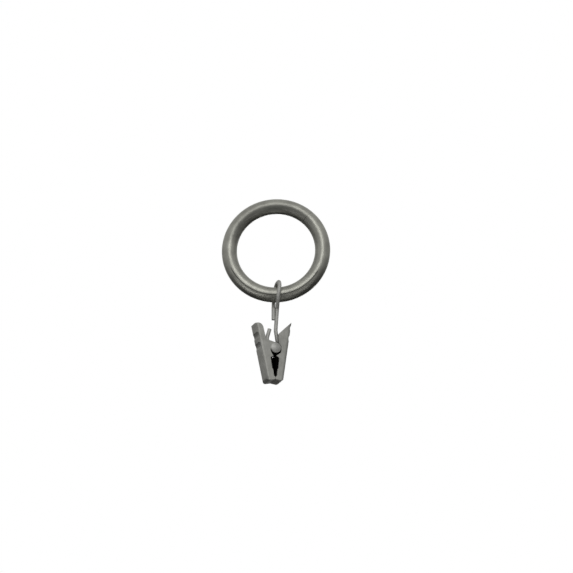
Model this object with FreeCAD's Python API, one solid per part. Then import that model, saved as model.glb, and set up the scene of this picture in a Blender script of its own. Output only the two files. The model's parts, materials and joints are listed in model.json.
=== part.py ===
"""Curtain ring with clip: a tube ring, a bent wire hanger and a sprung two-jaw clip.

Millimetres, +Z up, origin at the centre of the ring. The ring's axis, along which the curtain rod
passes, is Y. The clip hangs below the ring, and it is turned a little about Z, as a loose clip is.
"""
import FreeCAD
import Part
import math
import os
from collections import namedtuple

Vec = FreeCAD.Vector
X_AXIS = Vec(1, 0, 0)
Y_AXIS = Vec(0, 1, 0)
Z_AXIS = Vec(0, 0, 1)
ORIGIN = Vec(0, 0, 0)

# Ring
RING_INNER_DIAMETER = 35.0
TUBE_DIAMETER = 6.8
SEAM_WIDTH = 0.3            # lengthwise line of the rolled tube, along the lower front
SEAM_ANGLE = 15.0           # from the tube's foremost line towards its outer side
SEAM_START = 205.0          # places round the ring, counted from +X towards +Z
SEAM_END = 330.0
JOINT_PLACE = 47.0          # where the two ends of the tube meet
JOINT_WIDTH = 0.12
JOINT_DEPTH = 0.12

# Hanger
HANGER_WIRE = 1.7
LOOP_SIDE_PLAY = 0.35       # between the tube and the loop's two strands
LOOP_TOP_PLAY = 1.6         # between the tube and the top of the loop
LOOP_TOP_SHIFT = 2.3        # sideways place of the loop's front strand, at its top
LOOP_FRONT_SHIFT = 1.3      # the same, beside the tube's lower half
LOOP_BACK_TOP_SHIFT = -0.6  # sideways place of the loop's back strand, at its top
LOOP_BACK_SHIFT = -1.3      # the same, beside the tube's lower half
STEM_TOP_SHIFT = 0.58       # sideways place of the stem just below the ring
TAIL_GAP = 0.06             # between the stem and the loop's tail beside it
TAIL_LENGTH = 5.3
TAIL_BEND_RADIUS = 2.4      # where the strands turn down into the stem

# Clip as a whole
CLIP_TWIST = 22.0           # turn of the hanger and the clip about Z
CLIP_TILT = 2.0             # lean of the clip's top to its left
PIVOT_DROP = 25.7           # from the tube's centre line down to the pin
PIVOT_SHIFT = -1.25         # sideways place of the pin
CLIP_DEPTH = 7.4            # along the pin, over the flanges
SHEET = 0.7
FOLD_RADIUS = 1.5           # outside of the sheet's folds
PIN_OFFSET = 0.6            # of the pin from the middle of the closed jaws, towards the right jaw

# Stem and eye of the hanger, measured from the pin
STEM_SHIFT = 1.1
STEM_KNEE = 9.0             # height at which the stem leans out to pass the coil
STEM_BEND_RADIUS = 6.0
HOOK_SHIFT = 2.9            # left strand's knee
HOOK_KNEE = 5.3
HOOK_BEND_RADIUS = 1.6
HOOK_END_SHIFT = 1.7        # the cut end of the hook
HOOK_END_HEIGHT = 9.4

# Jaw outline: outwards from the middle of the closed jaws, and up or down from the pin
PLATE_DISTANCE = 6.55       # outer face of the plate at the pin's height
PLATE_LEAN = 10.1
LEFT_HANDLE_HEIGHT = 11.0
RIGHT_HANDLE_HEIGHT = 12.4
JAW_DROP = 15.3
LIP_GAP = 0.12              # between the two lips when closed
LIP_HEIGHT = 0.9
MOUTH_HALF = 0.75           # half of the gap between the flanges, just above the lips
MOUTH_DROP = 12.8
STEP_HALF = 1.05            # gap at the small step in the flange's edge
STEP_DROP = 10.1
STEP_SIZE = 0.4
WINDOW_HALF = 2.05          # gap at its widest
WINDOW_DROP = 4.7
NECK_HALF = 0.72            # gap at the neck below the pin
NECK_DROP = 3.8
PAD_TOP_DROP = 3.0          # gripping pad, folded up inside from the lip
PAD_LEAN = 0.9              # how far its top stands back from the middle
PAD_SIDE_ROOM = 0.3         # between the pad and the flanges
PAD_EYE_ROOM = 0.3          # round the hanger's eye, in the notch of the pad's top
OUTER_HANDLE_FLANGE = 3.15  # width of the flange along the handle, on the outer ear's side
OUTER_HANDLE_ROUND = 2.3
INNER_EDGE_DISTANCE = 2.1   # flange edge above the pin, on the inner ear's side
INNER_EDGE_HEIGHT = 6.3
SLANT_DISTANCE = 4.7        # where the slanted end of a flange starts
SLANT_HEIGHT = 8.8

# Ears, measured from the pin
EAR_RADIUS = 2.35
EAR_ROOT_HEIGHT = 3.7       # top of an ear where it leaves the handle
EAR_ROOT_DISTANCE = 4.4
EAR_CLEARANCE = 0.2         # round the outer ear's end, in the other jaw's flange
EAR_PLAY = 0.1              # between an outer ear and the inner ear behind it
CRESCENT_DISTANCE = 2.3     # lower corner of the crescent-shaped gap below an ear
CRESCENT_DROP = 2.3
CRESCENT_END_DISTANCE = 2.6
CRESCENT_END_DROP = 0.8

# Grip grooves pressed across each handle
GROOVE_COUNT = 2
GROOVE_PITCH = 4.6
LEFT_GROOVE_HEIGHT = 1.0    # height of the lower groove above the pin
RIGHT_GROOVE_HEIGHT = 4.8
GROOVE_RADIUS = 2.0
GROOVE_DEPTH = 0.6

# Pin and spring
PIN_DIAMETER = 1.6
PIN_FIT = 0.05              # radial running fit of the ears
PIN_HEAD_DIAMETER = 4.4
PIN_HEAD_HEIGHT = 0.5
PIN_END_PLAY = 0.05
SPRING_WIRE = 0.6
SPRING_FIT = 0.12           # between the pin and the coil
SPRING_TURNS = 3
COIL_GAP = 0.12             # between the coil's turns
EYE_FIT = 0.15              # between the coil and the hanger's eye
LEG_PLAY = 0.1              # between the legs and the handles

TUBE_RADIUS = TUBE_DIAMETER / 2
TUBE_CIRCLE = RING_INNER_DIAMETER / 2 + TUBE_RADIUS
WIRE_RADIUS = HANGER_WIRE / 2
PIN_RADIUS = PIN_DIAMETER / 2
COIL_RADIUS = PIN_RADIUS + SPRING_FIT + SPRING_WIRE / 2
EYE_RADIUS = COIL_RADIUS + SPRING_WIRE / 2 + EYE_FIT + WIRE_RADIUS
INNER_EAR_FACE = CLIP_DEPTH / 2 - SHEET - EAR_PLAY
PIVOT = Vec(PIVOT_SHIFT, 0, -TUBE_CIRCLE - PIVOT_DROP)
LEAN = math.radians(PLATE_LEAN)
BEYOND = 5.0                # how far a cutting shape runs past what it cuts
TOUCH = 1e-6                # two places nearer than this are the same
ARCH_ROUNDNESS = 0.95       # share of a full round that the loop's arch and the eye are bent to
EYE_ROUNDNESS = 0.99

# A jaw's middle from the pin, its handle's height, its lower groove's height, and whether both of its
# flanges end in a slant
Jaw = namedtuple("Jaw", "shift handle groove slanted")
LEFT = Jaw(PIN_OFFSET, LEFT_HANDLE_HEIGHT, LEFT_GROOVE_HEIGHT, False)
RIGHT = Jaw(-PIN_OFFSET, RIGHT_HANDLE_HEIGHT, RIGHT_GROOVE_HEIGHT, True)


def plate_at(jaw, height):
    """Distance of a plate's outer face from the pin, at a height above the pin."""
    return jaw.shift + PLATE_DISTANCE + height * math.tan(LEAN)


def turned(shift, height):
    """Point of the plane in which the stem and the eye lie, turned about Z with the clip."""
    turn = math.radians(CLIP_TWIST)
    return Vec(shift * math.cos(turn), shift * math.sin(turn), height)


def prism(points, start, depth):
    """Solid over an outline of (outwards, up) points, from y = start through depth.

    Outwards is towards -X, where the left jaw's plate is.
    """
    corners = [Vec(-out, start, up) for out, up in points]
    face = Part.Face(Part.makePolygon(corners + corners[:1]))
    return face.extrude(Y_AXIS * depth)


def rod(radius, start, depth):
    """Cylinder on the pin's axis."""
    return Part.makeCylinder(radius, depth, Vec(0, start, 0), Y_AXIS)


def tangent_angle(point, radius):
    """Direction, from the circle's centre, of the place where a line from the point touches it."""
    distance = math.hypot(*point)
    return math.atan2(point[1], point[0]) - math.acos(radius / distance)


def bent_wire(points, bends, radius):
    """Round wire along straight runs, with an arc of the given radius at each inner point."""
    edges = []
    last = points[0]
    for before, corner, after, bend in zip(points, points[1:], points[2:], bends):
        back = (before - corner).normalize()
        ahead = (after - corner).normalize()
        half = back.getAngle(ahead) / 2
        reach = bend / math.tan(half)
        start = corner + back * reach
        end = corner + ahead * reach
        middle = corner + (back + ahead).normalize() * (bend / math.sin(half) - bend)
        edges.append(Part.LineSegment(last, start).toShape())
        edges.append(Part.Arc(start, middle, end).toShape())
        last = end
    edges.append(Part.LineSegment(last, points[-1]).toShape())
    path = Part.Wire(edges)
    section = Part.Wire(Part.makeCircle(radius, points[0], points[1] - points[0]))
    return path.makePipeShell([section], True, False)


def make_ring():
    """Tube bent to a ring, with its lengthwise seam line and the joint of its ends."""
    tube = Part.makeTorus(TUBE_CIRCLE, TUBE_RADIUS, ORIGIN, Y_AXIS)
    slant = math.radians(SEAM_ANGLE)
    seam_radius = TUBE_CIRCLE + TUBE_RADIUS * math.sin(slant)
    seam_centre = Vec(seam_radius, -TUBE_RADIUS * math.cos(slant), 0)
    seam = Part.Face(Part.Wire(Part.makeCircle(SEAM_WIDTH / 2, seam_centre, Z_AXIS)))
    seam.rotate(ORIGIN, Y_AXIS, -SEAM_START)
    seam = seam.revolve(ORIGIN, -Y_AXIS, SEAM_END - SEAM_START)
    joint_start = Vec(TUBE_CIRCLE, 0, -JOINT_WIDTH / 2)
    joint = Part.makeCylinder(TUBE_DIAMETER, JOINT_WIDTH, joint_start, Z_AXIS)
    core = Part.makeCylinder(TUBE_RADIUS - JOINT_DEPTH, JOINT_WIDTH, joint_start, Z_AXIS)
    joint = joint.cut(core)
    joint.rotate(ORIGIN, Y_AXIS, -JOINT_PLACE)
    return tube.cut(seam).cut(joint)


def make_hanger():
    """One wire: tail, loop round the ring's tube, stem and the eye round the clip's coil."""
    around = TUBE_RADIUS + LOOP_SIDE_PLAY + WIRE_RADIUS
    top = -TUBE_CIRCLE + TUBE_RADIUS + LOOP_TOP_PLAY + WIRE_RADIUS
    shoulder = -TUBE_CIRCLE - around * math.tan(math.pi / 8)
    throat = -TUBE_CIRCLE - around * math.sqrt(2)
    tail_shift = STEM_TOP_SHIFT - HANGER_WIRE - TAIL_GAP
    eye_right = tangent_angle((STEM_SHIFT, STEM_KNEE), EYE_RADIUS)
    eye_left = tangent_angle((HOOK_SHIFT, HOOK_KNEE), EYE_RADIUS)
    right_corner = EYE_RADIUS * (1 + math.sin(eye_right)) / math.cos(eye_right)
    left_corner = EYE_RADIUS * (1 + math.sin(eye_left)) / math.cos(eye_left)
    arch = min(around, top - shoulder) * ARCH_ROUNDNESS
    eye = EYE_RADIUS * EYE_ROUNDNESS
    points = [
        turned(tail_shift, throat - TAIL_LENGTH),
        turned(tail_shift, throat),
        Vec(LOOP_BACK_SHIFT, around, shoulder),
        Vec(LOOP_BACK_TOP_SHIFT, around, top),
        Vec(LOOP_TOP_SHIFT, -around, top),
        Vec(LOOP_FRONT_SHIFT, -around, shoulder),
        turned(STEM_TOP_SHIFT, throat),
        turned(PIVOT.x + STEM_SHIFT, PIVOT.z + STEM_KNEE),
        turned(PIVOT.x + right_corner, PIVOT.z - EYE_RADIUS),
        turned(PIVOT.x - left_corner, PIVOT.z - EYE_RADIUS),
        turned(PIVOT.x - HOOK_SHIFT, PIVOT.z + HOOK_KNEE),
        turned(PIVOT.x - HOOK_END_SHIFT, PIVOT.z + HOOK_END_HEIGHT),
    ]
    shoulder_bend = min(around, (top - shoulder - arch) / math.tan(math.pi / 8))
    loop_bends = [TAIL_BEND_RADIUS, shoulder_bend, arch, arch, shoulder_bend, TAIL_BEND_RADIUS]
    return bent_wire(points, loop_bends + [STEM_BEND_RADIUS, eye, eye, HOOK_BEND_RADIUS], WIRE_RADIUS)


def lip_place(jaw):
    """Outer end of a jaw's lip, where it meets the other jaw's."""
    out = jaw.shift + LIP_GAP / 2
    return (out, (plate_at(jaw, -JAW_DROP) - out) * math.tan(LEAN) - JAW_DROP)


def lower_edge(jaw):
    """Points of a flange's edge from the plate's foot along the lip and up to the gap below the ear."""
    lip, lip_up = lip_place(jaw)
    return [
        (plate_at(jaw, -JAW_DROP), -JAW_DROP),
        (lip, lip_up),
        (lip, lip_up + LIP_HEIGHT),
        (jaw.shift + MOUTH_HALF, -MOUTH_DROP),
        (jaw.shift + STEP_HALF, -STEP_DROP),
        (jaw.shift + STEP_HALF + STEP_SIZE, -STEP_DROP + STEP_SIZE),
        (jaw.shift + WINDOW_HALF, -WINDOW_DROP),
        (jaw.shift + NECK_HALF, -NECK_DROP),
        (CRESCENT_DISTANCE, -CRESCENT_DROP),
        (CRESCENT_END_DISTANCE, -CRESCENT_END_DROP),
    ]


def outer_flange(jaw):
    """Flange with the outer ear: narrow along the handle, whose end is rounded or slanted."""
    handle_edge = plate_at(jaw, EAR_ROOT_HEIGHT) - OUTER_HANDLE_FLANGE
    handle_end = plate_at(jaw, jaw.handle) - OUTER_HANDLE_FLANGE
    rounded = (handle_end, jaw.handle)
    slanted = (jaw.shift + SLANT_DISTANCE, SLANT_HEIGHT)
    outline = lower_edge(jaw) + [
        (0, 0),
        (0, EAR_RADIUS),
        (min(EAR_ROOT_DISTANCE, handle_edge), EAR_ROOT_HEIGHT),
        slanted if jaw.slanted else rounded,
        (plate_at(jaw, jaw.handle), jaw.handle),
    ]
    depth = CLIP_DEPTH / 2 + BEYOND
    flange = prism(outline, -depth, depth)
    if not jaw.slanted:
        corner = Vec(-handle_end, 0, jaw.handle)
        end = [edge for edge in flange.Edges
               if all(math.hypot(v.X - corner.x, v.Z - corner.z) < TOUCH for v in edge.Vertexes)]
        flange = flange.makeFillet(min(OUTER_HANDLE_ROUND, OUTER_HANDLE_FLANGE - SHEET / 2), end)
    return flange.fuse(rod(EAR_RADIUS, -depth, depth))


def inner_flange(jaw):
    """Flange with the inner ear: cut back round the other jaw's ear, and pointed at the handle's end."""
    outline = lower_edge(jaw) + [
        (jaw.shift + INNER_EDGE_DISTANCE, 0),
        (jaw.shift + INNER_EDGE_DISTANCE, INNER_EDGE_HEIGHT),
        (jaw.shift + SLANT_DISTANCE, SLANT_HEIGHT),
        (plate_at(jaw, jaw.handle), jaw.handle),
    ]
    depth = CLIP_DEPTH / 2 + BEYOND
    return prism(outline, 0, depth).cut(rod(EAR_RADIUS + EAR_CLEARANCE, 0, depth))


def inner_ear():
    """Ear set in by one sheet, with the step that carries it from the flange."""
    step = EAR_RADIUS + EAR_CLEARANCE
    start = INNER_EAR_FACE - SHEET
    foot = -EAR_ROOT_HEIGHT / 2
    tongue = [(0, -EAR_RADIUS), (step, foot), (step, EAR_ROOT_HEIGHT), (0, EAR_RADIUS)]
    ear = prism(tongue, start, SHEET).fuse(rod(EAR_RADIUS, start, SHEET))
    wall = [(step, foot), (step + SHEET, foot), (step + SHEET, EAR_ROOT_HEIGHT), (step, EAR_ROOT_HEIGHT)]
    return ear.fuse(prism(wall, start, CLIP_DEPTH / 2 - start))


def fold(solid, radius):
    """Round the edges along the plate and the foot, where the sheet is folded."""
    plate = min(solid.Faces, key=lambda face: face.CenterOfMass.x)
    upright = [edge for edge in plate.Edges if edge.BoundBox.ZLength > edge.BoundBox.YLength]
    across = min(plate.Edges, key=lambda edge: edge.CenterOfMass.z)
    return solid.makeFillet(radius, upright + [across])


def channel(jaw):
    """Sheet folded to a channel with a lip across its foot and grip grooves, its flanges still whole."""
    foot = plate_at(jaw, -JAW_DROP)
    reach = PLATE_DISTANCE + BEYOND
    top = jaw.handle + BEYOND
    outer = [
        (foot, -JAW_DROP),
        (foot - reach, -JAW_DROP + reach * math.tan(LEAN)),
        (foot - reach, top),
        (plate_at(jaw, top), top),
    ]
    inset = SHEET / math.cos(LEAN)
    inner_foot = foot - SHEET * (math.cos(LEAN) - math.sin(LEAN))
    inner_up = -JAW_DROP + SHEET * (math.cos(LEAN) + math.sin(LEAN))
    inner = [
        (inner_foot, inner_up),
        (inner_foot - reach, inner_up + reach * math.tan(LEAN)),
        (inner_foot - reach, top + BEYOND),
        (plate_at(jaw, top + BEYOND) - inset, top + BEYOND),
    ]
    block = fold(prism(outer, -CLIP_DEPTH / 2, CLIP_DEPTH), FOLD_RADIUS)
    hollow = fold(prism(inner, SHEET - CLIP_DEPTH / 2, CLIP_DEPTH - 2 * SHEET), FOLD_RADIUS - SHEET)
    sheet = block.cut(hollow)
    for place in range(GROOVE_COUNT):
        height = jaw.groove + place * GROOVE_PITCH
        pressed_in = groove(jaw, height, GROOVE_RADIUS + SHEET).common(block)
        sheet = sheet.fuse(pressed_in).cut(groove(jaw, height, GROOVE_RADIUS))
    return sheet


def groove(jaw, height, radius):
    """Round bar across the handle, which a grip groove follows."""
    stand = GROOVE_RADIUS - GROOVE_DEPTH
    out = plate_at(jaw, height) + stand * math.cos(LEAN)
    up = height - stand * math.sin(LEAN)
    return Part.makeCylinder(radius, 2 * CLIP_DEPTH, Vec(-out, -CLIP_DEPTH, up), Y_AXIS)


def grip_pad(jaw):
    """Tab folded up inside the jaw from its lip, notched at its top round the hanger's eye."""
    lip, lip_up = lip_place(jaw)
    half_width = CLIP_DEPTH / 2 - SHEET - PAD_SIDE_ROOM
    outline = [
        (lip, lip_up),
        (lip + PAD_LEAN, -PAD_TOP_DROP),
        (lip + PAD_LEAN + SHEET, -PAD_TOP_DROP),
        (lip + SHEET, lip_up),
    ]
    notch = WIRE_RADIUS + PAD_EYE_ROOM
    return prism(outline, -half_width, 2 * half_width).cut(rod(EYE_RADIUS + notch, -notch, 2 * notch))


def make_jaw(jaw):
    """Stamped jaw in its own frame: pin at the origin along Y, plate on the -X side."""
    sheet = channel(jaw).common(outer_flange(jaw).fuse(inner_flange(jaw)))
    sheet = sheet.fuse(inner_ear()).fuse(grip_pad(jaw))
    hole = rod(PIN_RADIUS + PIN_FIT, -CLIP_DEPTH, 2 * CLIP_DEPTH)
    return sheet.cut(hole).removeSplitter()


def make_pin():
    """Rivet with a domed head at each end, in the clip's frame."""
    seat = CLIP_DEPTH / 2 + PIN_END_PLAY
    head_radius = PIN_HEAD_DIAMETER / 2
    dome = (head_radius ** 2 + PIN_HEAD_HEIGHT ** 2) / (2 * PIN_HEAD_HEIGHT)
    shank = rod(PIN_RADIUS, -seat, 2 * seat)
    for side in (-1, 1):
        ball = Part.makeSphere(dome, Vec(0, side * (seat + PIN_HEAD_HEIGHT - dome), 0))
        start = seat if side > 0 else -seat - dome
        shank = shank.fuse(ball.common(rod(2 * dome, start, dome)))
    return shank.removeSplitter()


def leg_tip(jaw):
    """Where a leg of the spring presses on the handle, between its two grooves."""
    height = jaw.groove + GROOVE_PITCH / 2
    return (plate_at(jaw, height) - SHEET / math.cos(LEAN) - LEG_PLAY - SPRING_WIRE / 2, height)


def make_spring():
    """Torsion spring on the pin, one leg pressing on each handle, in the clip's frame."""
    tips = [leg_tip(LEFT), leg_tip(RIGHT)]
    leaves = [tangent_angle(tip, COIL_RADIUS) for tip in tips]
    turns = SPRING_TURNS + 0.5 + sum(leaves) / (2 * math.pi)
    pitch = SPRING_WIRE + COIL_GAP
    coil = Part.makeHelix(pitch, pitch * turns, COIL_RADIUS, 0, True)
    coil.rotate(ORIGIN, X_AXIS, -90)
    coil.translate(Vec(0, -pitch * turns / 2, 0))
    coil.rotate(ORIGIN, Y_AXIS, -180 + math.degrees(leaves[0]))
    stretch = math.hypot(1, pitch / (2 * math.pi * COIL_RADIUS))
    left_leg, right_leg = (math.sqrt(math.hypot(*tip) ** 2 - COIL_RADIUS ** 2) * stretch for tip in tips)
    first = coil.Edges[0]
    last = coil.Edges[-1]
    coil_start = first.valueAt(first.FirstParameter)
    coil_end = last.valueAt(last.LastParameter)
    left_tip = coil_start - first.tangentAt(first.FirstParameter) * left_leg
    right_tip = coil_end + last.tangentAt(last.LastParameter) * right_leg
    path = [Part.LineSegment(left_tip, coil_start).toShape()]
    path += coil.Edges
    path.append(Part.LineSegment(coil_end, right_tip).toShape())
    section = Part.Wire(Part.makeCircle(SPRING_WIRE / 2, left_tip, coil_start - left_tip))
    return Part.Wire(path).makePipeShell([section], True, False)


def hang(shape):
    """Bring a piece from the clip's frame to its place below the ring."""
    shape.rotate(ORIGIN, Y_AXIS, -CLIP_TILT)
    shape.translate(PIVOT)
    shape.rotate(ORIGIN, Z_AXIS, CLIP_TWIST)
    return shape


def main():
    right_jaw = make_jaw(RIGHT)
    right_jaw.rotate(ORIGIN, Z_AXIS, 180)
    pieces = {
        "ring": make_ring(),
        "hanger": make_hanger(),
        "left_jaw": hang(make_jaw(LEFT)),
        "right_jaw": hang(right_jaw),
        "torsion_spring": hang(make_spring()),
        "pivot_pin": hang(make_pin()),
    }
    os.makedirs("parts", exist_ok=True)
    for name, shape in pieces.items():
        solid = shape.Solids[0] if len(shape.Solids) == 1 else shape
        print(name, len(shape.Solids), shape.isValid(), round(shape.Volume, 2))
        solid.exportStep("parts/" + name + ".step")


main()
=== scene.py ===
"""Looks of the curtain ring with clip: satin pewter-grey metal on a plain white stage.

Metres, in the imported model's frame: the ring's centre is the origin, its axis is Y and +Z is up.
"""
import json
import math
from collections import namedtuple

import bpy
from mathutils import Matrix, Vector


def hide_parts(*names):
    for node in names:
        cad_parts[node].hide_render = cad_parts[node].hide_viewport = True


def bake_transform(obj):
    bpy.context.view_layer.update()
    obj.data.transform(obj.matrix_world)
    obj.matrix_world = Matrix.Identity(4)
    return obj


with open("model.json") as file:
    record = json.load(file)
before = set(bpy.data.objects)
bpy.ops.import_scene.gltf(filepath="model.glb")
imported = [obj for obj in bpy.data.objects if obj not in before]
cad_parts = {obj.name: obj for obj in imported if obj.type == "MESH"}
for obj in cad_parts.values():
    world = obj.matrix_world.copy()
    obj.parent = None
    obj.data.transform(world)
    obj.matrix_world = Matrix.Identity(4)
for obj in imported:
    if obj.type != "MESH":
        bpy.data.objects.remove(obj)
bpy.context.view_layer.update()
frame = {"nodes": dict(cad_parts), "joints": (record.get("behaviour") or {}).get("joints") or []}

MM = 0.001

# Camera, as the photograph was taken: from a little below and nearly without perspective
VIEW_AZIMUTH = math.radians(2.9)
VIEW_ELEVATION = math.radians(-18.5)
VIEW_DISTANCE = 1.5
FRAME_WIDTH = 256.5 * MM        # what the image spans at the object
SENSOR_WIDTH = 36.0             # millimetres, as the camera's settings are
AIM_RIGHT = 4.7 * MM            # image centre, from the ring's centre
AIM_DOWN = 16.05 * MM

# Stage and light
FLOOR_HEIGHT = -0.8
FLOOR_SIZE = 0.5
FLOOR_COLOUR = (0.85, 0.85, 0.84, 1)
FLOOR_WHITENESS = 0.75          # share of pure white in the floor that the camera sees
WHITE = (1, 1, 1, 1)
LAMP_DISTANCE = 2.6
LAMP_SIZE = 1.0
LAMPS = {                       # azimuth and elevation in degrees, and power in watts
    "key": (4, 22, 11.0),
    "left_fill": (-42, -36, 7.0),
    "right_fill": (36, -40, 3.5),
    "back": (180, 8, 8.0),
}
ROOM_LIGHT = (-0.05, -0.15, 0.9)  # the way in which the room grows brighter
ROOM_SPAN = 0.5                 # reach along that way, forwards and back, over which it does
ROOM_DARK = 0.03
ROOM_BRIGHT = 0.6
BACKDROP = (0, 0.9, 0.436)      # unit vector to the middle of the white that the metal shows
BACKDROP_FULL = 0.97            # cosines of the angles between which that white fades
BACKDROP_EDGE = 0.72

# Ring
TUBE_CIRCLE = 20.9 * MM         # from the ring's centre to the tube's centre line
TUBE_RADIUS = 3.4 * MM
JOINT_PLACE = math.radians(47)  # where the tube's ends meet
JOINT_WIDTH = 0.4 * MM
JOINT_DIRTY = -0.5              # places round the tube between which the dirt in the joint ends,
JOINT_CLEAN = 0.4               # in radians from the tube's foremost line outwards
JOINT_SHADE = 0.7
SMUDGE_LENGTH = 0.07            # dirt beside the joint, in radians round the ring
SMUDGE_ANGLE = -0.9             # its place and width round the tube
SMUDGE_WIDTH = 0.7
SMUDGE_SOFTNESS = 0.8
SMUDGE_SHADE = 0.5
SEAM_ANGLE = math.radians(15)   # lengthwise seam, from the tube's foremost line outwards
SEAM_MIDDLE = math.radians(267.5)
SEAM_HALF = math.radians(62.5)
SEAM_WIDTH = 0.5 * MM
SEAM_END_SOFTNESS = 0.08
SEAM_SHADE = 0.6
TOP_SHADE_MIDDLE = math.radians(100)  # painted shade: dark bands along the inside of the ring's upper part, either side of its lighter innermost line
TOP_SHADE_HALF = math.radians(60)
TOP_SHADE_END_SOFTNESS = 0.25
TOP_SHADE_DEPTH = 0.38 * TUBE_RADIUS  # of the bands' middle, from the tube's foremost line inwards
TOP_SHADE_WIDTH = 0.8 * TUBE_RADIUS
TOP_SHADE_SOFTNESS = 0.6
TOP_SHADE_DARKNESS = 0.48

# Clip, in the frame of its pin
CLIP_TILT = math.radians(2)
CLIP_DEPTH = 7.4 * MM
SHEET = 0.7 * MM
PLATE_LEAN = math.radians(10.1)
PLATE_DISTANCE = {"left_jaw": 7.15 * MM, "right_jaw": 5.95 * MM}
JAW_DROP = 15.3 * MM
GROOVE_DEPTH = 0.6 * MM
GROOVE_PAINTED_SHADE = 0.3              # of the painted shade in the grip grooves
# painted shade on the jaws' hidden inside, darkest below the pin
INSIDE_START = 0.92 * SHEET     # depths behind a jaw's outer faces between which its inside starts
INSIDE_FULL = 1.02 * SHEET
BETWEEN_START = CLIP_DEPTH / 2 - 0.8 * SHEET  # the same, from the middle plane to the flanges
BETWEEN_FULL = CLIP_DEPTH / 2 - 0.98 * SHEET
DEEP_HEIGHT = -1.0 * MM         # up to here the inside is darkest
OPEN_HEIGHT = 8.0 * MM          # and from here on light comes in between the handles
OPEN_SHADE = 0.35
# painted shade on the hanger's eye:
EYE_REACH = 3.4 * MM            # outside of the hanger's eye, from the pin's axis
EYE_FADE = 0.8 * MM

# Spring, on the clip's pin
COIL_RADIUS = 1.22 * MM
COIL_PITCH = 0.72 * MM
SPRING_RADIUS = 0.3 * MM
LEG_REACH = {"left_jaw": (6.627 * MM, 3.3 * MM), "right_jaw": (6.104 * MM, 7.1 * MM)}
SPRING_TURNS = 3
STEPS_PER_TURN = 40
SPRING_SIDES = 18               # faces round the wire

# Finishes: scale of the brush lines along each axis (per metre), dull, plain and worn tone,
# least and greatest roughness, and depth of the relief
Finish = namedtuple("Finish", "brush colours roughness relief")
RING_COLOURS = ((0.27, 0.268, 0.241, 1), (0.36, 0.36, 0.321, 1), (0.46, 0.46, 0.412, 1))
SHEET_COLOURS = ((0.345, 0.345, 0.321, 1), (0.44, 0.44, 0.41, 1), (0.54, 0.54, 0.507, 1))
WIRE_COLOURS = ((0.42, 0.42, 0.398, 1), (0.53, 0.53, 0.504, 1), (0.64, 0.64, 0.61, 1))
RIVET_COLOURS = ((0.37, 0.37, 0.35, 1), (0.47, 0.47, 0.446, 1), (0.57, 0.57, 0.543, 1))
RING_FINISH = Finish((150, 6000, 6000), RING_COLOURS, (0.36, 0.5), 0.005 * MM)
SHEET_FINISH = Finish((3500, 3500, 400), SHEET_COLOURS, (0.54, 0.68), 0.02 * MM)
WIRE_FINISH = Finish((2500, 2500, 300), WIRE_COLOURS, (0.6, 0.74), 0.02 * MM)
RIVET_FINISH = Finish((2500, 2500, 2500), RIVET_COLOURS, (0.5, 0.65), 0.02 * MM)
SPRING_FINISH = Finish((2500, 2500, 2500), RING_COLOURS, (0.28, 0.4), 0.02 * MM)
# near-black colour of the dirt marks and of the painted shade
DIRT_AND_SHADE = (0.003, 0.003, 0.0028, 1)

# Make-up of every finish
CLOUDS = (220, 5.0, 0.6)        # scale (per metre), detail and roughness of the noises
LINES = (1.0, 3.0, 0.6)
GRAIN = (5200, 2.0, 0.5)
TONE_STOPS = (0.33, 0.5, 0.68)  # where the dull, the plain and the worn tone are reached
TONE_CLOUDS = 0.6               # share of the clouds in the tone; the rest is lines
GLOSS_CLOUDS = 0.4              # share of the clouds in the roughness; the rest is lines
RELIEF_LINES = 0.7              # share of the lines in the relief; the rest is grain
RELIEF_STRENGTH = 0.35
SPECULAR = 0.5
MIX_FIRST, MIX_SECOND, MIX_RESULT = 6, 7, 2  # colour sockets of a Mix node


class Nodes:
    """Short hand for making and joining the nodes of one material or world."""

    def __init__(self, owner):
        owner.use_nodes = True
        self.tree = owner.node_tree
        self.tree.nodes.clear()

    def add(self, kind, **settings):
        node = self.tree.nodes.new(kind)
        for name, value in settings.items():
            setattr(node, name, value)
        return node

    def join(self, output, target):
        self.tree.links.new(output, target)

    def math(self, operation, first, second=None):
        node = self.add("ShaderNodeMath", operation=operation)
        for socket, value in zip(node.inputs, (first, second)):
            if hasattr(value, "links"):
                self.join(value, socket)
            elif value is not None:
                socket.default_value = value
        return node.outputs[0]

    def reach(self, vector, way):
        """How far a vector reaches along another."""
        node = self.add("ShaderNodeVectorMath", operation="DOT_PRODUCT")
        node.inputs[1].default_value = way
        self.join(vector, node.inputs[0])
        return node.outputs["Value"]

    def mix(self, first, second, share):
        """Sum of a share of one value and the rest of another."""
        rest = self.math("MULTIPLY", second, 1 - share)
        return self.math("ADD", self.math("MULTIPLY", first, share), rest)

    def length(self, first, second):
        """Length of a vector of two parts."""
        squares = [self.math("MULTIPLY", part, part) for part in (first, second)]
        return self.math("SQRT", self.math("ADD", *squares))

    def noise(self, vector, scale, detail, roughness):
        node = self.add("ShaderNodeTexNoise")
        node.inputs["Scale"].default_value = scale
        node.inputs["Detail"].default_value = detail
        node.inputs["Roughness"].default_value = roughness
        self.join(vector, node.inputs["Vector"])
        return node.outputs["Fac"]

    def ramp(self, value, stops):
        node = self.add("ShaderNodeValToRGB")
        elements = node.color_ramp.elements
        stops = list(stops)
        while len(elements) < len(stops):
            elements.new(1.0)
        for element, (place, colour) in zip(elements, stops):
            element.position = place
            element.color = colour
        self.join(value, node.inputs["Fac"])
        return node.outputs["Color"]

    def spread(self, value, low, high):
        node = self.add("ShaderNodeMapRange")
        node.inputs["To Min"].default_value = low
        node.inputs["To Max"].default_value = high
        self.join(value, node.inputs["Value"])
        return node.outputs["Result"]


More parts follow.
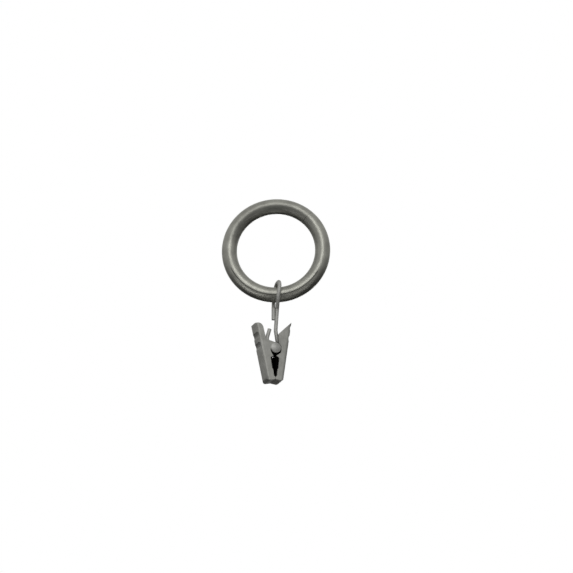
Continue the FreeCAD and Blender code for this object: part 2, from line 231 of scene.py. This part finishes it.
def ring_places(nodes, place, start):
    """Angles round the ring, from a start angle, and round its tube, from the front line outwards.

    The distance from the tube's centre line outwards and the place along Y come with them.
    """
    turned = nodes.add("ShaderNodeVectorRotate", rotation_type="Y_AXIS")
    turned.inputs["Angle"].default_value = start
    nodes.join(place, turned.inputs["Vector"])
    parts = nodes.add("ShaderNodeSeparateXYZ")
    nodes.join(turned.outputs[0], parts.inputs[0])
    x, y, z = parts.outputs
    out = nodes.math("SUBTRACT", nodes.length(x, z), TUBE_CIRCLE)
    turn = nodes.math("ARCTAN2", z, x)
    tube = nodes.math("ARCTAN2", out, nodes.math("MULTIPLY", y, -1.0))
    return turn, tube, out, y


def along_ring(nodes, place):
    """Vector that runs round the ring and across its tube, cut where the tube's ends meet."""
    angle, _, out, y = ring_places(nodes, place, JOINT_PLACE + math.pi)
    vector = nodes.add("ShaderNodeCombineXYZ")
    nodes.join(nodes.math("MULTIPLY", angle, TUBE_CIRCLE), vector.inputs[0])
    nodes.join(out, vector.inputs[1])
    nodes.join(y, vector.inputs[2])
    return vector.outputs[0]


def fade(nodes, value, full, none):
    """1 up to one value and 0 from another on, with a soft step between."""
    node = nodes.add("ShaderNodeMapRange", interpolation_type="SMOOTHSTEP")
    node.inputs["From Min"].default_value = full
    node.inputs["From Max"].default_value = none
    node.inputs["To Min"].default_value = 1.0
    node.inputs["To Max"].default_value = 0.0
    nodes.join(value, node.inputs["Value"])
    return node.outputs["Result"]


def near(nodes, value, centre, width, softness=0.5):
    """1 close to a value and 0 beyond half a width of it."""
    away = nodes.math("ABSOLUTE", nodes.math("SUBTRACT", value, centre))
    return fade(nodes, away, width / 2 * (1 - softness), width / 2 * (1 + softness))


def ring_marks_and_shade(nodes, place):
    """Darkness of the seam line and of the joint that holds dirt, and painted shade inside the
    ring's top.
    """
    turn, tube, _, _ = ring_places(nodes, place, SEAM_MIDDLE)
    seam = nodes.math("MULTIPLY", near(nodes, tube, SEAM_ANGLE, SEAM_WIDTH / TUBE_RADIUS),
                      near(nodes, turn, 0.0, 2 * SEAM_HALF, SEAM_END_SOFTNESS))
    turn, tube, _, _ = ring_places(nodes, place, JOINT_PLACE)
    joint = nodes.math("MULTIPLY", near(nodes, turn, 0.0, JOINT_WIDTH / TUBE_CIRCLE),
                       fade(nodes, tube, JOINT_DIRTY, JOINT_CLEAN))
    smudge = nodes.math("MULTIPLY", near(nodes, turn, 0.0, SMUDGE_LENGTH, SMUDGE_SOFTNESS),
                        near(nodes, tube, SMUDGE_ANGLE, SMUDGE_WIDTH, SMUDGE_SOFTNESS))
    # painted shade: darker bands inside the top of the ring
    turn, _, out, _ = ring_places(nodes, place, TOP_SHADE_MIDDLE)
    top_shade = nodes.math("MULTIPLY", near(nodes, turn, 0.0, 2 * TOP_SHADE_HALF, TOP_SHADE_END_SOFTNESS),
                         near(nodes, out, -TOP_SHADE_DEPTH, TOP_SHADE_WIDTH, TOP_SHADE_SOFTNESS))
    dirt_and_shade = nodes.math("MULTIPLY", seam, SEAM_SHADE)
    for mark, shade in ((joint, JOINT_SHADE), (smudge, SMUDGE_SHADE), (top_shade, TOP_SHADE_DARKNESS)):
        dirt_and_shade = nodes.math("MAXIMUM", dirt_and_shade, nodes.math("MULTIPLY", mark, shade))
    return dirt_and_shade


def pin_places(nodes, place):
    """Coordinates in the frame of the clip's pin."""
    to_pin = pin_frame().inverted()
    mapping = nodes.add("ShaderNodeMapping")
    mapping.inputs["Location"].default_value = to_pin.translation
    mapping.inputs["Rotation"].default_value = to_pin.to_euler()
    nodes.join(place, mapping.inputs["Vector"])
    parts = nodes.add("ShaderNodeSeparateXYZ")
    nodes.join(mapping.outputs[0], parts.inputs[0])
    return parts.outputs


def eye_shade(nodes, place):
    """Painted shade on the hanger's eye, where it sits hidden between the jaws."""
    x, _, z = pin_places(nodes, place)
    return fade(nodes, nodes.length(x, z), EYE_REACH, EYE_REACH + EYE_FADE)


def painted_inside_shade(jaw):
    """Painted shade on a jaw's hidden inside, which the light hardly reaches, and in its grip
    grooves.
    """
    def shade(nodes, place):
        x, y, z = pin_places(nodes, place)
        out = nodes.math("MULTIPLY", x, -1.0 if jaw == "left_jaw" else 1.0)
        slope = math.tan(PLATE_LEAN)
        plate = nodes.math("ADD", nodes.math("MULTIPLY", z, slope), PLATE_DISTANCE[jaw])
        behind_plate = nodes.math("SUBTRACT", plate, out)
        foot = PLATE_DISTANCE[jaw] - JAW_DROP * slope
        run = nodes.math("MULTIPLY", nodes.math("SUBTRACT", out, foot), slope)
        above_foot = nodes.math("ADD", nodes.math("ADD", z, JAW_DROP), run)
        depth = nodes.math("MINIMUM", behind_plate, above_foot)
        hidden = fade(nodes, depth, INSIDE_FULL, INSIDE_START)
        between = fade(nodes, nodes.math("ABSOLUTE", y), BETWEEN_FULL, BETWEEN_START)
        low = nodes.spread(fade(nodes, z, DEEP_HEIGHT, OPEN_HEIGHT), OPEN_SHADE, 1.0)
        inside = nodes.math("MULTIPLY", nodes.math("MULTIPLY", hidden, between), low)
        groove = nodes.math("MULTIPLY", fade(nodes, behind_plate, GROOVE_DEPTH, 0.0), GROOVE_PAINTED_SHADE)
        outside = fade(nodes, behind_plate, INSIDE_START, SHEET)
        return nodes.math("MAXIMUM", inside, nodes.math("MULTIPLY", groove, outside))
    return shade


def stretched(nodes, vector, scale):
    """The vector with each axis scaled, which draws a noise out into brush lines."""
    node = nodes.add("ShaderNodeVectorMath", operation="MULTIPLY")
    node.inputs[1].default_value = scale
    nodes.join(vector, node.inputs[0])
    return node.outputs[0]


def satin_metal(name, finish, coordinates=None, dirt_and_shade=None):
    """Plated metal with fine brush lines, cloudy patches of wear and a slightly uneven gloss."""
    material = bpy.data.materials.new(name)
    nodes = Nodes(material)
    place = nodes.add("ShaderNodeTexCoord").outputs["Object"]
    clouds = nodes.noise(place, *CLOUDS)
    line_space = coordinates(nodes, place) if coordinates else place
    lines = nodes.noise(stretched(nodes, line_space, finish.brush), *LINES)
    grain = nodes.noise(place, *GRAIN)
    shader = nodes.add("ShaderNodeBsdfPrincipled")
    shader.inputs["Metallic"].default_value = 1.0
    colour = nodes.ramp(nodes.mix(clouds, lines, TONE_CLOUDS), zip(TONE_STOPS, finish.colours))
    # dirt and painted shade darken the colour and dull the metal
    if dirt_and_shade:
        shade = dirt_and_shade(nodes, place)
        bare = nodes.math("SUBTRACT", 1.0, shade)
        nodes.join(bare, shader.inputs["Metallic"])
        nodes.join(nodes.math("MULTIPLY", bare, SPECULAR), shader.inputs["Specular IOR Level"])
        stain_and_shade = nodes.add("ShaderNodeMix", data_type="RGBA")
        nodes.join(shade, stain_and_shade.inputs["Factor"])
        nodes.join(colour, stain_and_shade.inputs[MIX_FIRST])
        stain_and_shade.inputs[MIX_SECOND].default_value = DIRT_AND_SHADE
        colour = stain_and_shade.outputs[MIX_RESULT]
    nodes.join(colour, shader.inputs["Base Color"])
    uneven = nodes.mix(clouds, lines, GLOSS_CLOUDS)
    nodes.join(nodes.spread(uneven, *finish.roughness), shader.inputs["Roughness"])
    bump = nodes.add("ShaderNodeBump")
    bump.inputs["Strength"].default_value = RELIEF_STRENGTH
    bump.inputs["Distance"].default_value = finish.relief
    nodes.join(nodes.mix(lines, grain, RELIEF_LINES), bump.inputs["Height"])
    nodes.join(bump.outputs[0], shader.inputs["Normal"])
    output = nodes.add("ShaderNodeOutputMaterial")
    nodes.join(shader.outputs[0], output.inputs["Surface"])
    return material


def paint(node, material):
    """Give a CAD node its material."""
    slots = frame["nodes"][node].data.materials
    slots.clear()
    slots.append(material)


def pin_frame():
    """Matrix of the clip's own frame: origin on the pin, Y along it, Z up the leaning clip."""
    joint = next(j for j in frame["joints"] if j["name"] == "left_jaw_open")
    along = Vector(joint["axis"]).normalized()
    outwards = along.cross(Vector((0, 0, 1))).normalized()
    turn = Matrix((outwards, along, outwards.cross(along))).transposed().to_4x4()
    return Matrix.Translation(joint["pos_m"]) @ turn @ Matrix.Rotation(-CLIP_TILT, 4, "Y")


def half_spring_path(jaw):
    """Half of the coil, from its middle, and the leg that presses on one handle."""
    side = -1 if jaw == "left_jaw" else 1
    leaves = {name: math.atan2(up, out) - math.acos(COIL_RADIUS / math.hypot(out, up))
              for name, (out, up) in LEG_REACH.items()}
    opposite = math.pi / 2        # each half's share of the half turn between the legs' sides
    turn = math.pi * SPRING_TURNS + opposite + sum(leaves.values()) / 2
    width = COIL_PITCH * turn / (2 * math.pi)
    steps = round(turn / (2 * math.pi) * STEPS_PER_TURN)
    points = []
    for step in range(steps + 1):
        share = step / steps
        angle = leaves[jaw] - (1 - share) * turn
        points.append(Vector((
            side * COIL_RADIUS * math.cos(angle),
            side * width * share,
            COIL_RADIUS * math.sin(angle),
        )))
    out, up = LEG_REACH[jaw]
    leg = math.sqrt(out ** 2 + up ** 2 - COIL_RADIUS ** 2)
    points.append(Vector((side * out, side * width * (1 + leg / (turn * COIL_RADIUS)), up)))
    return points


def round_wire(name, points, radius):
    """Smooth mesh of a wire through the points, with closed ends."""
    curve = bpy.data.curves.new(name, "CURVE")
    curve.dimensions = "3D"
    curve.bevel_depth = radius
    curve.bevel_resolution = SPRING_SIDES // 2 - 2
    curve.use_fill_caps = True
    spline = curve.splines.new("POLY")
    spline.points.add(len(points) - 1)
    for place, point in zip(spline.points, points):
        place.co = (*point, 1)
    bent = bpy.data.objects.new(name, curve)
    mesh = bpy.data.meshes.new_from_object(bent)
    bpy.data.curves.remove(curve)
    mesh.shade_smooth()
    solid = bpy.data.objects.new(name, mesh)
    bpy.context.scene.collection.objects.link(solid)
    return solid


def make_spring(material):
    """Torsion spring in two halves, each of which winds up with its own jaw."""
    place = pin_frame()
    for jaw in LEG_REACH:
        path = half_spring_path(jaw)
        half = round_wire("spring_" + jaw.split("_")[0], path, SPRING_RADIUS)
        half.data.transform(place)
        half.data.materials.append(material)
        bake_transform(half)
        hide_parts("torsion_spring")


def direction(azimuth, elevation):
    """Unit vector from the object towards a viewer or a lamp."""
    return Vector((
        math.sin(azimuth) * math.cos(elevation),
        -math.cos(azimuth) * math.cos(elevation),
        math.sin(elevation),
    ))


def look_at(thing, place, aim):
    """Put a camera or a lamp in its place, turned towards a point."""
    thing.location = place
    thing.rotation_euler = (aim - place).to_track_quat("-Z", "Y").to_euler()
    bpy.context.scene.collection.objects.link(thing)


def make_camera():
    """Long lens at the photograph's angle, framed as the photograph is."""
    right = Vector((math.cos(VIEW_AZIMUTH), math.sin(VIEW_AZIMUTH), 0))
    towards = direction(VIEW_AZIMUTH, VIEW_ELEVATION)
    up = towards.cross(right)
    aim = right * AIM_RIGHT - up * AIM_DOWN
    data = bpy.data.cameras.new("camera")
    data.sensor_width = SENSOR_WIDTH
    data.lens = SENSOR_WIDTH * VIEW_DISTANCE / FRAME_WIDTH
    camera = bpy.data.objects.new("camera", data)
    look_at(camera, aim + towards * VIEW_DISTANCE, aim)
    bpy.context.scene.camera = camera


def make_lamp(name, azimuth, elevation, power):
    """Large soft lamp, turned towards the clip."""
    data = bpy.data.lights.new(name, "AREA")
    data.size = LAMP_SIZE
    data.energy = power
    lamp = bpy.data.objects.new(name, data)
    lamp.visible_camera = False
    towards = direction(math.radians(azimuth), math.radians(elevation))
    look_at(lamp, towards * LAMP_DISTANCE, Vector((0, 0, -AIM_DOWN)))


def make_world():
    """White behind the object; the metal also sees a room that is bright above and dim below."""
    world = bpy.data.worlds.new("studio")
    bpy.context.scene.world = world
    nodes = Nodes(world)
    way = nodes.add("ShaderNodeTexCoord").outputs["Generated"]
    bright = fade(nodes, nodes.reach(way, ROOM_LIGHT), ROOM_SPAN, -ROOM_SPAN)
    room = nodes.add("ShaderNodeBackground")
    room.inputs["Color"].default_value = WHITE
    nodes.join(nodes.spread(bright, ROOM_DARK, ROOM_BRIGHT), room.inputs["Strength"])
    white = nodes.add("ShaderNodeBackground")
    white.inputs["Color"].default_value = WHITE
    white.inputs["Strength"].default_value = 1.0
    rays = nodes.add("ShaderNodeLightPath")
    seen = nodes.math("MAXIMUM", rays.outputs["Is Camera Ray"], rays.outputs["Is Transmission Ray"])
    backdrop = fade(nodes, nodes.reach(way, BACKDROP), BACKDROP_FULL, BACKDROP_EDGE)
    mirrored = nodes.math("MULTIPLY", rays.outputs["Is Glossy Ray"], backdrop)
    seen = nodes.math("MAXIMUM", seen, mirrored)
    mix = nodes.add("ShaderNodeMixShader")
    nodes.join(seen, mix.inputs["Fac"])
    nodes.join(room.outputs[0], mix.inputs[1])
    nodes.join(white.outputs[0], mix.inputs[2])
    nodes.join(mix.outputs[0], nodes.add("ShaderNodeOutputWorld").inputs["Surface"])


def make_floor():
    """Plain pale floor, far below the hanging clip."""
    mesh = bpy.data.meshes.new("floor")
    half = FLOOR_SIZE / 2
    corners = [(-half, -half, 0), (half, -half, 0), (half, half, 0), (-half, half, 0)]
    mesh.from_pydata(corners, [], [(0, 1, 2, 3)])
    floor = bpy.data.objects.new("floor", mesh)
    floor.location.z = FLOOR_HEIGHT
    bpy.context.scene.collection.objects.link(floor)
    material = bpy.data.materials.new("pale_floor")
    nodes = Nodes(material)
    matt = nodes.add("ShaderNodeBsdfDiffuse")
    matt.inputs["Color"].default_value = FLOOR_COLOUR
    white = nodes.add("ShaderNodeEmission")
    white.inputs["Color"].default_value = WHITE
    rays = nodes.add("ShaderNodeLightPath")
    seen = nodes.math("MULTIPLY", rays.outputs["Is Camera Ray"], FLOOR_WHITENESS)
    mix = nodes.add("ShaderNodeMixShader")
    nodes.join(seen, mix.inputs["Fac"])
    nodes.join(matt.outputs[0], mix.inputs[1])
    nodes.join(white.outputs[0], mix.inputs[2])
    nodes.join(mix.outputs[0], nodes.add("ShaderNodeOutputMaterial").inputs["Surface"])
    mesh.materials.append(material)


def main():
    """Set the stage and give every piece its finish."""
    bpy.context.scene.view_settings.view_transform = "Standard"
    make_camera()
    make_world()
    for name, lamp in LAMPS.items():
        make_lamp(name, *lamp)
    make_floor()
    paint("ring", satin_metal("ring_metal", RING_FINISH, along_ring, ring_marks_and_shade))
    paint("hanger", satin_metal("wire_metal", WIRE_FINISH, dirt_and_shade=eye_shade))
    paint("pivot_pin", satin_metal("rivet_metal", RIVET_FINISH))
    for jaw in PLATE_DISTANCE:
        paint(jaw, satin_metal(jaw + "_metal", SHEET_FINISH, dirt_and_shade=painted_inside_shade(jaw)))
    make_spring(satin_metal("spring_metal", SPRING_FINISH))


main()
